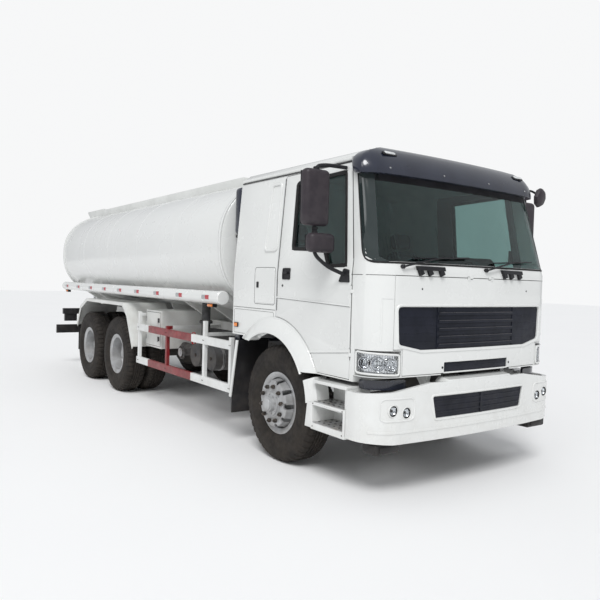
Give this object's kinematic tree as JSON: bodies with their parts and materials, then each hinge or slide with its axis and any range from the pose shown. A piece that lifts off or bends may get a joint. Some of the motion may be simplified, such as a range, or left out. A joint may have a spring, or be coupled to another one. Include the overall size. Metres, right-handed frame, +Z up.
{
  "type": "tanker truck",
  "caption": "Rigid tanker truck with a tilting cab, opening doors, steered front wheels, twin drive wheels and an oval tank.",
  "frame": {"origin": "On the ground under the middle of the truck, half way along and half way across.", "axes": "+X forwards, +Y to the left side, +Z up"},
  "size_m": [9.4, 3, 3.012],
  "materials": {
    "white_paint": "gloss white paint",
    "off_white_paint": "worn white paint",
    "frame_paint": "satin dark grey paint",
    "black_paint": "satin black paint",
    "black_plastic": "matt black plastic",
    "navy_plastic": "gloss charcoal plastic",
    "lamp_glass": "clear lamp lens over chrome",
    "tinted_glass": "green tinted glass",
    "cast_iron": "cast iron",
    "wheel_paint": "silver paint",
    "tyre_rubber": "dusty tyre rubber",
    "alu": "bare aluminium",
    "cab_trim": "grained plastic",
    "seat_cloth": "woven cloth"
  },
  "bodies": {
    "chassis": {"chassis_frame": "frame_paint", "cross_members": "frame_paint", "front_bumper": "white_paint", "bumper_grille": "black_plastic", "fog_lamps": "lamp_glass", "step_boxes": "white_paint", "front_mudflaps": "off_white_paint", "front_axle": "cast_iron", "drive_axles": "cast_iron", "leaf_springs": "black_paint", "engine_block": "cast_iron", "gearbox": "cast_iron", "propshafts": "black_paint", "fuel_tank": "alu", "tool_box": "off_white_paint", "pump_pipework": "cast_iron", "air_reservoirs": "frame_paint", "air_intake": "navy_plastic", "cradle_sills": "off_white_paint", "tank_saddles": "off_white_paint", "tank": "white_paint", "tank_walkway": "off_white_paint", "tube_brackets": "off_white_paint", "hose_tubes": "white_paint", "side_guards": "white_paint", "rear_mudguards": "off_white_paint", "rear_bars": "black_paint", "rear_ladder": "off_white_paint"},
    "cab": {"cab_shell": "white_paint", "windscreen": "tinted_glass", "sun_visor": "navy_plastic", "headlamps": "lamp_glass", "wheel_arches": "white_paint", "seats": "seat_cloth", "dashboard": "cab_trim"},
    "front_flap": {"front_flap": "white_paint", "front_grille": "black_plastic"},
    "door_left": {"door_left": "white_paint", "door_glass_left": "tinted_glass", "mirrors_left": "black_plastic"},
    "door_right": {"door_right": "white_paint", "door_glass_right": "tinted_glass", "mirrors_right": "black_plastic"},
    "manhole_lid": {"manhole_lid": "alu"},
    "steering_wheel": {"steering_wheel": "cab_trim"},
    "knuckle_left": {"knuckle_left": "cast_iron"},
    "knuckle_right": {"knuckle_right": "cast_iron"},
    "wheel_front_left": {"tyre_front_left": "tyre_rubber", "wheel_front_left": "wheel_paint"},
    "wheel_front_right": {"tyre_front_right": "tyre_rubber", "wheel_front_right": "wheel_paint"},
    "wheels_mid_left": {"tyres_mid_left": "tyre_rubber", "wheels_mid_left": "wheel_paint"},
    "wheels_mid_right": {"tyres_mid_right": "tyre_rubber", "wheels_mid_right": "wheel_paint"},
    "wheels_rear_left": {"tyres_rear_left": "tyre_rubber", "wheels_rear_left": "wheel_paint"},
    "wheels_rear_right": {"tyres_rear_right": "tyre_rubber", "wheels_rear_right": "wheel_paint"}
  },
  "joints": [
    {"name": "cab_tilt", "type": "hinge", "parent": "chassis", "child": "cab", "pos_m": [4.6, 0, 0.8], "axis": [0, 1, 0], "range_deg": [0, 50]},
    {"name": "door_left_hinge", "type": "hinge", "parent": "cab", "child": "door_left", "pos_m": [4.268, 1.161, 1.8], "axis": [0, 0, -1], "range_deg": [0, 70]},
    {"name": "door_right_hinge", "type": "hinge", "parent": "cab", "child": "door_right", "pos_m": [4.268, -1.161, 1.8], "axis": [0, 0, 1], "range_deg": [0, 70]},
    {"name": "front_flap_hinge", "type": "hinge", "parent": "cab", "child": "front_flap", "pos_m": [4.641, 0, 1.803], "axis": [0, -1, 0], "range_deg": [0, 60]},
    {"name": "manhole_lid_hinge", "type": "hinge", "parent": "chassis", "child": "manhole_lid", "pos_m": [-0.352, 0, 2.982], "axis": [0, -1, 0], "range_deg": [0, 100]},
    {"name": "steer_left", "type": "hinge", "parent": "chassis", "child": "knuckle_left", "pos_m": [3.2, 0.87, 0.56], "axis": [0, 0, 1], "range_deg": [-38, 38]},
    {"name": "steer_right", "type": "hinge", "parent": "chassis", "child": "knuckle_right", "pos_m": [3.2, -0.87, 0.56], "axis": [0, 0, 1], "range_deg": [-38, 38]},
    {"name": "steering_wheel_turn", "type": "hinge", "parent": "cab", "child": "steering_wheel", "pos_m": [3.76, 0.75, 1.8], "axis": [-0.866, 0, 0.5], "range_deg": [-684, 684]},
    {"name": "wheel_front_left_spin", "type": "hinge", "parent": "knuckle_left", "child": "wheel_front_left", "pos_m": [3.2, 1.011, 0.56], "axis": [0, 1, 0], "continuous": true},
    {"name": "wheel_front_right_spin", "type": "hinge", "parent": "knuckle_right", "child": "wheel_front_right", "pos_m": [3.2, -1.011, 0.56], "axis": [0, 1, 0], "continuous": true},
    {"name": "wheels_mid_left_spin", "type": "hinge", "parent": "chassis", "child": "wheels_mid_left", "pos_m": [-1.125, 0.915, 0.56], "axis": [0, 1, 0], "continuous": true},
    {"name": "wheels_mid_right_spin", "type": "hinge", "parent": "chassis", "child": "wheels_mid_right", "pos_m": [-1.125, -0.915, 0.56], "axis": [0, 1, 0], "continuous": true},
    {"name": "wheels_rear_left_spin", "type": "hinge", "parent": "chassis", "child": "wheels_rear_left", "pos_m": [-2.475, 0.915, 0.56], "axis": [0, 1, 0], "continuous": true},
    {"name": "wheels_rear_right_spin", "type": "hinge", "parent": "chassis", "child": "wheels_rear_right", "pos_m": [-2.475, -0.915, 0.56], "axis": [0, 1, 0], "continuous": true}
  ],
  "couplings": [
    {"joint": "steer_right", "follows": "steer_left", "ratio": 1},
    {"joint": "steering_wheel_turn", "follows": "steer_left", "ratio": 18}
  ]
}
